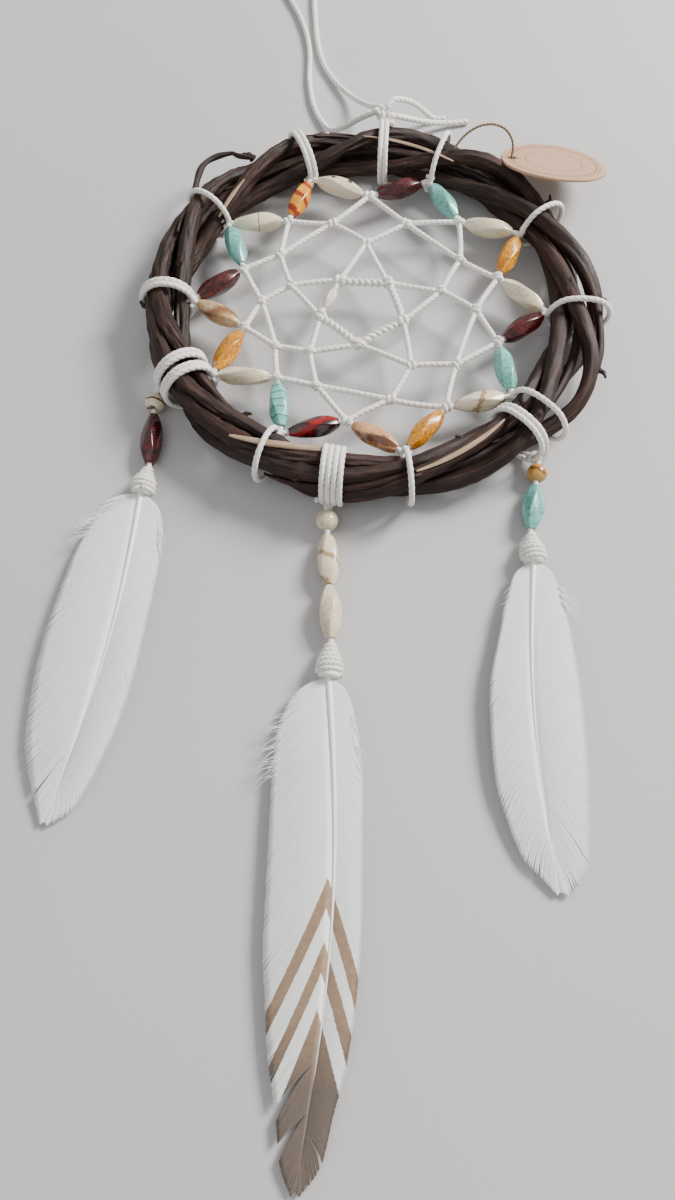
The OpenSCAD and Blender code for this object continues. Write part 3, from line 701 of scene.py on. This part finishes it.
def wrap_path(angle, turns, lean=0.0, first=180.0, last=180.0):
    """A cord that goes round the bundle and begins and ends at phases in degrees from outward."""
    total = 360 * turns + first - last
    count = round(total / 6)
    path = []
    for k in range(count + 1):
        share = k / count
        phase = radians(first - total * share)
        open_share = max(-1.0, min(1.0, 2.5 * cos(phase)))
        x = WRAP_R * cos(phase) + spread(angle) * open_share
        shift = (share - 0.5) * WRAP_PITCH * turns + lean * cos(phase)
        path.append(polar(bundle_r(angle) + x, angle, HOOP_Z + WRAP_R * sin(phase)) + polar(shift, angle + 90))
    return path


def hitch(shape, middle, along, radius=1.0, cord=0.78, turns=1.6):
    """A small knot: a coil of cord round a run of it."""
    along = along.normalized()
    side = along.cross(UP).normalized()
    up = side.cross(along)
    count = round(26 * turns)
    path = []
    for k in range(count + 1):
        t = k / count
        turn = tau * turns * t
        path.append(middle + along * ((t - 0.5) * cord * 2.1 * turns) + (side * cos(turn) + up * sin(turn))
                    * radius)
    sweep(shape, path, cord, CORD_SIDES, plied, 3.0)


def tied_knot(shape, middle, size, cord, roll=0.0):
    """An overhand knot pulled tight: a trefoil of cord."""
    path = []
    count = 96
    for k in range(count + 1):
        t = tau * k / count
        p = Vector((sin(t) + 2 * sin(2 * t), cos(t) - 2 * cos(2 * t), -1.5 * sin(3 * t)))
        path.append(middle + Matrix.Rotation(roll, 3, "X") @ (p * size / 3))
    sweep(shape, path, cord, CORD_SIDES, plied, 4.0)


def add_lashings():
    shape = Shape()
    rng = random.Random(3)
    for angle, turns in zip(LASH_AT, LASH_TURNS):
        twisted_cord(shape, wrap_path(angle, turns, lean=rng.uniform(-0.8, 0.8)))
        hitch(shape, lash_point(angle) + polar(1.1, angle) + UP * HOOP_Z, polar(1, angle + 90), 0.9, 0.8, 1.2)
    build("web_lashing_cord", shape, COTTON, "hoop", ("web_lashings",))


# ---- Web ----
EYE_MIDDLE = Vector((-3, -4, 0))
EYE_R = 14.5
EYE_CORD_R, EYE_LAY = 1.4, 4.4
BEAD_RUN = 21.4
ROUND_2_SHARE, ROUND_3_SHARE = 0.28, 0.6
SPOKES = LASHES // 2
CHIP_EDGE = 3


def lash_point(angle):
    return polar(bundle_r(angle) - spread(angle) - WRAP_R, angle)


def zigzag_point(a, b):
    half = (b - a).length / 2
    run = max(BEAD_RUN, 1.06 * half)
    inward = Vector(((b - a).y, -(b - a).x, 0)).normalized()
    return (a + b) / 2 + inward * sqrt(run * run - half * half)


def drawn_in(p, q, depth):
    """A hitch in the middle between two outer knots, drawn in to a share of the way to the eye ring."""
    p, q = p - EYE_MIDDLE, q - EYE_MIDDLE
    far = (p.length + q.length) / 2
    return EYE_MIDDLE + (p.normalized() + q.normalized()).normalized() * (far + (EYE_R - far) * depth)


LASH = [lash_point(a) for a in LASH_AT]
ZIG = [zigzag_point(LASH[i], LASH[(i + 1) % LASHES]) for i in range(LASHES)]
ROUND_2 = [drawn_in(ZIG[i], ZIG[(i + 1) % LASHES], ROUND_2_SHARE) for i in range(LASHES)]
ROUND_3 = [drawn_in(ZIG[2 * i + 1], ZIG[2 * i + 1], ROUND_3_SHARE) for i in range(SPOKES)]
EYE = [drawn_in(ROUND_3[i], ROUND_3[(i + 1) % SPOKES], 1) for i in range(SPOKES)]


def web_run(shape, a, b, rng, bow=0.35, radius=CORD_R, lay=CORD_LAY, section=plied):
    """A run of the web between two knots, with a little slack."""
    a = a + UP * HOOP_Z
    b = b + UP * HOOP_Z
    side = (b - a).cross(UP).normalized()
    slack = side * rng.uniform(-bow, bow) + UP * rng.uniform(-bow, bow)
    path = even(smooth([a, a.lerp(b, 0.3) + slack * 0.8, a.lerp(b, 0.7) + slack, b], 8), CORD_STEP)
    sweep(shape, path, radius, CORD_SIDES, section, lay)


def add_web():
    rng = random.Random(21)
    shape = Shape()
    for i in range(LASHES):
        after = LASH[(i + 1) % LASHES]
        web_run(shape, LASH[i], ZIG[i], rng, bow=0.0)
        web_run(shape, ZIG[i], after, rng, bow=0.0)
        hitch(shape, ZIG[i] + UP * HOOP_Z, after - LASH[i], 1.0, 0.8, 1.7)
    build("web_cord_1", shape, COTTON, "hoop", ("web_round_1",))

    shape = Shape()
    for i in range(LASHES):
        web_run(shape, ZIG[i], ROUND_2[i], rng)
        web_run(shape, ROUND_2[i], ZIG[(i + 1) % LASHES], rng)
        hitch(shape, ROUND_2[i] + UP * HOOP_Z, ZIG[(i + 1) % LASHES] - ZIG[i])
    build("web_cord_2", shape, COTTON, "hoop", ("web_round_2",))

    shape = Shape()
    for i in range(SPOKES):
        web_run(shape, ROUND_2[2 * i], ROUND_3[i], rng)
        web_run(shape, ROUND_3[i], ROUND_2[2 * i + 1], rng)
        web_run(shape, ROUND_2[2 * i + 1], ROUND_2[(2 * i + 2) % LASHES], rng)
        hitch(shape, ROUND_3[i] + UP * HOOP_Z, ROUND_2[2 * i + 1] - ROUND_2[2 * i])
    build("web_cord_3", shape, COTTON, "hoop", ("web_round_3",))

    shape = Shape()
    for i in range(SPOKES):
        after = EYE[(i + 1) % SPOKES]
        web_run(shape, ROUND_3[i], EYE[i], rng)
        web_run(shape, EYE[i], ROUND_3[(i + 1) % SPOKES], rng)
        if i == CHIP_EDGE:
            web_run(shape, EYE[i], after, rng, bow=0.0, radius=0.85)
        else:
            web_run(shape, EYE[i], after, rng, bow=0.5, radius=EYE_CORD_R, lay=EYE_LAY, section=two_plied)
        hitch(shape, EYE[i] + UP * HOOP_Z, after - EYE[i], 1.15, 0.95, 1.4)
    build("web_eye_ring", shape, COTTON, "hoop", ("web_eye",))


# ---- Beads ----
BORE_R = 1.0
BEAD_SIDES = 60


def bead_frame(middle, axis, roll=0.0):
    turn = axis.to_track_quat("Z", "Y").to_matrix().to_4x4()
    return Matrix.Translation(middle) @ turn @ Matrix.Rotation(roll, 4, "Z")


def bead_shape(profile, flutes=0, depth=0.0, twist=0.0):
    """A bead round its own Z axis, ground to flat sides that wind round it. profile is (radius, height, share of the
    grinding) from one bore edge to the other, and the last ring joins the first through the bore."""
    shape = Shape()
    rings = []
    for radius, height, share in profile:
        points = []
        for k in range(BEAD_SIDES):
            turn = tau * k / BEAD_SIDES
            reach = radius
            if flutes:
                half = pi / flutes
                across = (turn + twist * height) % (2 * half) - half
                reach *= 1 - depth * share * (1 - cos(half) / cos(across))
            points.append(Vector((reach * cos(turn), reach * sin(turn), height)))
        rings.append(shape.ring(points, [tuple(p) for p in points]))
    for a, b in zip(rings, rings[1:] + rings[:1]):
        shape.bridge(a, b)
    return shape


def long_profile(length, diameter, end_share=0.46, steps=13):
    half, big = length / 2, diameter / 2
    end = big * end_share
    edge = 0.28
    body = []
    for k in range(-steps, steps + 1):
        t = k / steps
        body.append((end + (big - end) * (1 - abs(t) ** 2.4), (half - edge) * t, 1.0))
    low = [(BORE_R, -half + 0.3, 0), (BORE_R + 0.15, -half, 0), (end - edge, -half, 0.2),
           (end - 0.08, -half + 0.08, 0.6)]
    high = [(r, -z, s) for r, z, s in reversed(low)]
    return low + body + high


def round_profile(diameter, steps=18):
    big = diameter / 2
    flat = asin(BORE_R / big * 1.25)
    body = [(big * sin(a), -big * cos(a), 1.0)
            for a in (flat + (pi - 2 * flat) * k / steps for k in range(steps + 1))]
    inner = (BORE_R, body[0][1] + 0.3, 0)
    return [inner] + body + [(BORE_R, -inner[1], 0)]


# The twenty beads from the upper left, the way the first round runs.
BEAD_LOOKS = ["cream_line", "amber_spiral", "cream_dots", "dark_red", "turquoise", "cream", "amber", "cream",
              "dark_red", "turquoise", "cream_ridge", "amber", "peach", "red_streak", "turquoise_rings", "cream",
              "amber", "tan", "dark_red", "turquoise"]
LONG_BEAD = (16.4, 7.0)


def carved_bead(name, look, joint, body, size, rng):
    flutes = rng.choice((4, 5, 5))
    twist = rng.choice((-1, 1)) * rng.uniform(0.05, 0.10)
    shape = bead_shape(long_profile(*size), flutes, 0.62, twist)
    place = bead_frame(joint_at(joint), joint_axis(joint), rng.uniform(-0.5, 0.5))
    build(name + "_carved", shape, LOOKS[look], body, (name,), place)


def add_web_beads():
    rng = random.Random(8)
    for k, look in enumerate(BEAD_LOOKS):
        name = f"web_bead_{k + 1:02d}"
        carved_bead(name, look, f"z_{name}_spin", name, LONG_BEAD, rng)


CHIP_SIZE = (9.0, 4.6)


def add_chip():
    length, diameter = CHIP_SIZE
    profile = []
    steps = 14
    for k in range(steps + 1):
        t = -1 + 2 * k / steps
        profile.append((max(0.9, diameter / 2 * (1 - abs(t) ** 2.2) ** 0.6), length / 2 * t, 1.0))
    shape = bead_shape([(0.8, -length / 2 + 0.2, 0)] + profile + [(0.8, length / 2 - 0.2, 0)], 5, 0.6, 0.05)
    for i, p in enumerate(shape.points):
        if hypot(p.x, p.y) > 1.0:
            rough = noise.noise(p * 0.45) * 0.16 + noise.noise(p * 1.3) * 0.05 - 0.12
            shape.points[i] = Vector((p.x * (1 + rough), p.y * (1 + rough) * 0.9, p.z))
    place = bead_frame(joint_at("z_centre_chip_spin"), joint_axis("z_centre_chip_spin"))
    build("centre_stone_chip", shape, LOOKS["stone"], "centre_chip", ("centre_chip",), place)


# ---- Hanger ----
HANGER_AT = 85
HANGER_KNOT = Vector((4.5, 80.7, 15.4))


def add_hanger_tie():
    shape = Shape()
    twisted_cord(shape, wrap_path(HANGER_AT, 2, first=70, last=30), HANGER_D / 2 - 0.15, HANGER_LAY)
    tied_knot(shape, HANGER_KNOT, 1.75, 0.95, roll=0.5)
    build("hanger_wraps", shape, COTTON, "hoop", ("hanger_tie",))


# ---- Pendants ----
SIDES = ["left", "centre", "right"]
TIE_AT = [-155.2, -101, -48.5]
TIE_TURNS = [2, 4, 2]
ROUND_LOOKS = ["cream_rings", "cream", "wood"]
TUBE_LOOKS = ["dark_red", "cream_ridge", "turquoise"]
ROUND_D = [6.5, 7.0, 6.4]
TUBE_L = [18.4, 16.8, 15.4]
TUBE_D = 7.2
BINDING_L = [9.6, 10.8, 10.0]
BINDING_D = 7.0
BINDING_CORD_R = 0.82
BINDING_FLAT = 1.08                    # how much wider than high the winding is
BINDING_TOP = 0.5
FEATHER_L = [104, 129, 97]
FEATHER_LEAN = [-10.5, -3.4, 0]
RACHIS_BOW = [4, 5, -4]
STRAND_Z = TUBE_D / 2
ARCH = 2.6
CAMBER = 2.0
TIP_Z = 0.6
VANE_T = 0.7


def add_ties():
    shape = Shape()
    for side, angle, turns in zip(SIDES, TIE_AT, TIE_TURNS):
        twisted_cord(shape, wrap_path(angle, turns, lean=0.4, first=-35, last=-35))
        pivot = joint_at(side + "_swing")
        knot = pivot + polar(1, angle) * -1.6 + UP * 0.5
        hitch(shape, knot, polar(1, angle), 1.15, 0.85, 1.8)
    build("pendant_wraps", shape, COTTON, "hoop", ("pendant_ties",))


def add_strand(side, p):
    """The pendant's cord in three runs, each running through one hinge."""
    pivot = joint_at(side + "_swing")
    lift = joint_at(side + "_bead_lift")
    bend = joint_at(side + "_feather_lift")
    down = (lift - pivot).normalized()
    angle = TIE_AT[p]
    hoop_end = polar(bundle_r(angle) + spread(angle) + 6.9, angle, 5.0)
    half_bead = TUBE_L[p] / 2
    tip = bend + feather_place(p).to_3x3() @ Vector((0, -BINDING_TOP - 1.5, 0))
    bodies = ["hoop", side + "_knot_and_cord", side + "_bead_strand", side + "_feather"]
    runs = [("top", [hoop_end, pivot, lift - down * 0.3], pivot, 0.8),
            ("low", [lift - down * 1.2, lift, lift + down * half_bead], lift, 0.6),
            ("end", [bend - down * half_bead, bend, tip], bend, 0.45)]
    for k, (part, route, hinge, reach) in enumerate(runs):
        shape = Shape()
        sweep(shape, even(smooth(route, 10), 0.3), CORD_R - 0.05, CORD_SIDES, plied, 4.0)
        replaced = (f"{side}_strand_{part}",) if part != "end" else ()
        across = (bodies[k], bodies[k + 1], hinge - down * reach, hinge + down * reach)
        build(f"{side}_cord_{part}", shape, COTTON, across, replaced)


def feather_place(p):
    """From the feather's own frame, with the bend at the origin and the feather along -Y."""
    turn = Matrix.Rotation(radians(FEATHER_LEAN[p]), 4, "Z")
    return Matrix.Translation(joint_at(SIDES[p] + "_feather_lift")) @ turn


def rachis(p, t):
    bow = RACHIS_BOW[p] * sin(pi * t)
    z = (TIP_Z + VANE_T - STRAND_Z) * t + ARCH * sin(pi * t)
    return Vector((bow, -BINDING_TOP - BINDING_L[p] - FEATHER_L[p] * t, z))


def add_binding(side, p):
    """Cord wound round the top of the quill over a tapered core."""
    length = BINDING_L[p]
    dome = BINDING_D / 2 * 0.62

    def reach(s):
        if s < dome:
            return max(1.6, sqrt(dome ** 2 - (dome - s) ** 2))
        swell_share = min(1.0, (s - dome) / (length * 0.6 - dome))
        return dome + (BINDING_D / 2 + 0.5 - dome) * swell_share

    shape = Shape()
    core = [(Vector((0, -BINDING_TOP - s, 0)), reach(s) - BINDING_CORD_R) for s in (length * k / 24 for k in range(25))]
    sweep(shape, [c for c, _ in core], lambda t: core[round(24 * t)][1], 20)
    pitch = BINDING_CORD_R * 1.85
    wound = length - 2 * BINDING_CORD_R
    count = round(wound / pitch * 26)
    path = []
    for k in range(count + 1):
        turn = tau * k / 26
        s = BINDING_CORD_R + wound * k / count
        r = reach(s) - BINDING_CORD_R
        low = BINDING_CORD_R + 0.1 - STRAND_Z                # the lowest that the cord's middle goes above the surface
        path.append(Vector((cos(turn) * r * BINDING_FLAT, -BINDING_TOP - s, max(sin(turn) * r, low))))
    sweep(shape, path, BINDING_CORD_R, CORD_SIDES, plied, 3.4)
    build(f"{side}_thread", shape, WAXED, side + "_feather", (side + "_binding",), feather_place(p))


def add_quill(side, p):
    steps = 60
    path = [Vector((0, -BINDING_TOP - BINDING_L[p] * 0.6, 0))] + [rachis(p, 0.97 * k / steps) for k in range(steps + 1)]
    shape = Shape()
    sweep(shape, path, lambda t: 0.85 * (1 - t) ** 1.3 + 0.12, 14)
    build(f"{side}_rachis", shape, QUILL, side + "_feather", (side + "_quill",), feather_place(p))


# Width of the vane left and right of the quill at shares of the feather's length.
VANE = [
    [(0.01, 3, 3), (0.05, 12, 7), (0.12, 14, 9), (0.24, 17.5, 9.5), (0.4, 19.5, 9.5), (0.55, 19.5, 10),
     (0.7, 17, 10), (0.8, 14, 9), (0.88, 9.5, 8), (0.95, 4.5, 6), (1, 1, 1)],
    [(0.01, 3, 3), (0.04, 10, 5.5), (0.1, 14.5, 7), (0.2, 17, 8), (0.38, 18, 7.5), (0.56, 17.5, 8), (0.68, 15, 8),
     (0.78, 12, 7.5), (0.87, 8, 6), (0.95, 5, 5), (1, 1, 1)],
    [(0.01, 3, 3), (0.05, 6, 6.5), (0.12, 7.5, 9), (0.25, 9.5, 12), (0.4, 12, 14), (0.55, 12.5, 14.5),
     (0.7, 12.5, 13.5), (0.8, 11, 12), (0.9, 8.5, 10), (0.96, 4, 7), (1, 1, 2)],
]
# Places where the barbs part at the edge: share of the length, side, width of the gap in mm.
PARTINGS = [
    [(0.93, -1, 0.5)],
    [(0.87, -1, 1.6), (0.93, -1, 1.9), (0.95, 1, 0.7)],
    [(0.86, 1, 0.3), (0.92, 1, 0.5)],
]
BARB_STEP = 0.42
BARB_W = 0.34
BARB_T = 0.09
BARB_TILT = 0.3
VANE_SHARE = 0.985                     # share of the feather that has barbs
PARTING_REACH, PARTING_FADE = 14, 5    # how far along the edge a parting pushes barbs aside, in mm


def vane_widths(p):
    rows = smooth(VANE[p], 8)

    def width(t, side):
        t = min(max(t, rows[0].x), rows[-1].x)
        for a, b in zip(rows, rows[1:]):
            if a.x <= t <= b.x:
                share = (t - a.x) / max(b.x - a.x, 1e-6)
                return (a.y + (b.y - a.y) * share) if side < 0 else (a.z + (b.z - a.z) * share)
        return 1.0

    return width


def surface_z(p, t, off):
    """Height of the vane at a distance from the rachis: it droops, and stops at the surface below."""
    return max(rachis(p, t).z - CAMBER * (off / 20) ** 2, BARB_T + 0.15 - STRAND_Z)


def add_vane(side, p):
    width = vane_widths(p)
    rng = random.Random(40 + p)
    length = FEATHER_L[p]
    shape = Shape()
    count = int(length * VANE_SHARE / BARB_STEP)
    for hand in (-1, 1):
        partings = [(t, gap) for t, s, gap in PARTINGS[p] if s == hand]
        for k in range(count + 1):
            root = 0.004 + VANE_SHARE * k / count
            reach = width(root, hand)
            ahead = 0.95 * reach / length * (1.25 if hand > 0 else 1.05)
            end = min(0.999, root + ahead)
            for place, gap in partings:
                away = (end - place) * length
                if abs(away) < PARTING_REACH:
                    end += copysign(gap * exp(-abs(away) / PARTING_FADE) / length, away)
            end = min(end + rng.uniform(-0.25, 0.25) / length, 0.9995)
            reach = width(end, hand) * (1 + rng.uniform(-0.012, 0.006))
            base = rachis(p, root)
            points = []
            steps = 9
            for j in range(steps + 1):
                u = j / steps
                t = root + (end - root) * (0.55 * u + 0.45 * u * u)
                off = reach * (u ** 0.86)
                c = rachis(p, t)
                x = c.x * u + base.x * (1 - u) + hand * off
                points.append(Vector((x, c.y, surface_z(p, t, off) + 0.12)))
            add_barb(shape, p, points, hand)
    add_down(shape, p, width, rng)
    build(f"{side}_barbs", shape, VANES[p], side + "_feather", (side + "_vane",), feather_place(p))


def add_barb(shape, p, points, hand):
    """A flat barb that lies on the next one like a tile."""
    ring = None
    last = len(points) - 1
    for j, (c, along) in enumerate(zip(points, tangents(points))):
        across = along.cross(UP).normalized() * hand
        wide = BARB_W * (1 - 0.55 * (j / last) ** 4)
        over = across * wide + UP * (wide * BARB_TILT * hand * 0.5)
        corners = [c + over, c + UP * BARB_T, c - over, c - UP * BARB_T]
        grain = []
        for q in corners:
            t = (-q.y - BINDING_TOP - BINDING_L[p]) / FEATHER_L[p]
            grain.append((q.x - rachis(p, t).x, t * FEATHER_L[p], c.z))
        new = shape.ring(corners, grain)
        if ring is None:
            shape.cap(new, flip=True)
        else:
            shape.bridge(ring, new)
        ring = new
    shape.cap(ring)


def add_down(shape, p, width, rng):
    """Loose, curled barbs beside the top of the vane."""
    length = FEATHER_L[p]
    wide_side = -1 if p < 2 else 1
    for k in range(46):
        root = rng.uniform(0.05, 0.2 if p == 1 else 0.14)
        hand = wide_side if k % 4 else -wide_side
        edge = width(root + 0.03, hand)
        start = rachis(p, root)
        reach = edge * rng.uniform(0.95, 1.0)
        curl = rng.uniform(1.0, 5.5) * (1.0 if hand == wide_side else 0.5)
        drop = rng.uniform(1, 6)
        points = []
        for j in range(10):
            u = j / 9
            x = start.x + hand * (reach * 0.8 + (reach * 0.2 + curl) * u ** 0.8)
            y = start.y - length * 0.03 - drop * u * u
            z = surface_z(p, root, reach) + 0.25 + 0.8 * sin(2.2 * u) * rng.uniform(0.7, 1.0)
            points.append(Vector((x, y, z)))
        sweep(shape, points, lambda t: 0.09 - 0.05 * t, 5)


def add_pendants():
    rng = random.Random(31)
    for p, side in enumerate(SIDES):
        add_strand(side, p)
        joint = f"z_{side}_round_bead_spin"
        shape = bead_shape(round_profile(ROUND_D[p]), 0)
        look = ROUND_LOOKS[p]
        place = bead_frame(joint_at(joint), joint_axis(joint))
        build(f"{side}_round_bead_polished", shape, LOOKS[look], f"{side}_round_bead",
              (f"{side}_round_bead",), place)
        tube = f"{side}_tube_bead"
        carved_bead(tube, TUBE_LOOKS[p], f"z_{tube}_spin", tube, (TUBE_L[p], TUBE_D), rng)
        add_binding(side, p)
        add_quill(side, p)
        add_vane(side, p)
    carved_bead("centre_tube_bead_2", "cream", "z_centre_tube_bead_2_spin", "centre_tube_bead_2",
                (TUBE_L[1], TUBE_D), rng)


QUILL = quill_material()
WHITE_VANE = vane_material("white vane", painted=False)
VANES = [WHITE_VANE, vane_material("painted vane", painted=True), WHITE_VANE]


# ---- Tag ----
TAG_R = 19.0
TAG_T = 1.0
TAG_HOLE_R = 1.6
TAG_HOLE = Vector((15.5 * cos(radians(95)), 15.5 * sin(radians(95)), 0))
TAG_FACING = 80
TAG_SLOPE = 25


def add_tag():
    """A card disc with a hole near its rim, a little curled."""
    shape = Shape()
    around, rings = 120, 16
    edge = 0.14

    def circle(share, z, grow=0.0):
        middle = TAG_HOLE * (1 - share)
        radius = TAG_HOLE_R + (TAG_R - TAG_HOLE_R) * share + grow
        points = []
        for k in range(around):
            turn = tau * k / around
            q = middle + Vector((cos(turn), sin(turn), 0)) * radius
            curl = 0.0006 * (q.x ** 2 - q.y ** 2) + 0.12 * noise.noise(q * 0.12)
            points.append(q + UP * (z + curl))
        return shape.ring(points, [(q.x, q.y, z) for q in points])

    shares = [k / rings for k in range(rings + 1)]
    half = TAG_T / 2
    loops = [circle(0, 0)]
    loops += [circle(s, half - (edge if s in (0.0, 1.0) else 0)) for s in shares]
    loops += [circle(1, 0)]
    loops += [circle(s, -half + (edge if s in (0.0, 1.0) else 0)) for s in reversed(shares)]
    for a, b in zip(loops, loops[1:] + loops[:1]):
        shape.bridge(b, a)
    low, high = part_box("tag")
    middle = (Vector([(a + b) / 2 for a, b in zip(low, high)]) - HOOP) / MM
    place = (Matrix.Translation(middle) @ Matrix.Rotation(radians(TAG_FACING), 4, "Z")
             @ Matrix.Rotation(radians(TAG_SLOPE), 4, "Y"))
    build("tag_card", shape, kraft_material(), "tag", ("tag",), place)


# ---- Stage ----
def add_stage():
    half = 2.0
    mesh = bpy.data.meshes.new("floor")
    mesh.from_pydata([(-half, -half, 0), (half, -half, 0), (half, half, 0), (-half, half, 0)], [], [(0, 1, 2, 3)])
    mesh.materials.append(floor_material())
    floor = bpy.data.objects.new("floor", mesh)
    bpy.context.scene.collection.objects.link(floor)
    for name, place, aim, size, power, colour in (
            ("window", (0.85, 0.62, 0.72), (0, 0.05, 0), 0.42, 36.0, (1.0, 0.975, 0.94)),
            ("fill", (-0.9, -0.6, 1.2), (0, 0, 0), 1.4, 5.0, (0.92, 0.96, 1.0))):
        data = bpy.data.lights.new(name, "AREA")
        data.size = size
        data.energy = power
        data.color = colour
        lamp = bpy.data.objects.new(name, data)
        lamp.location = place
        lamp.rotation_euler = (Vector(place) - Vector(aim)).to_track_quat("Z", "Y").to_euler()
        bpy.context.scene.collection.objects.link(lamp)
    world = bpy.data.worlds.new("studio")
    world.use_nodes = True
    world.node_tree.nodes["Background"].inputs["Color"].default_value = (0.93, 0.91, 0.90, 1)
    world.node_tree.nodes["Background"].inputs["Strength"].default_value = 0.62
    bpy.context.scene.world = world


add_camera()
add_free_cords()
add_main_twigs()
add_side_twigs()
add_buds()
add_tendril()
add_splits()
add_bark_strips()
add_lashings()
add_web()
add_web_beads()
add_chip()
add_hanger_tie()
add_ties()
add_pendants()
add_tag()
add_stage()
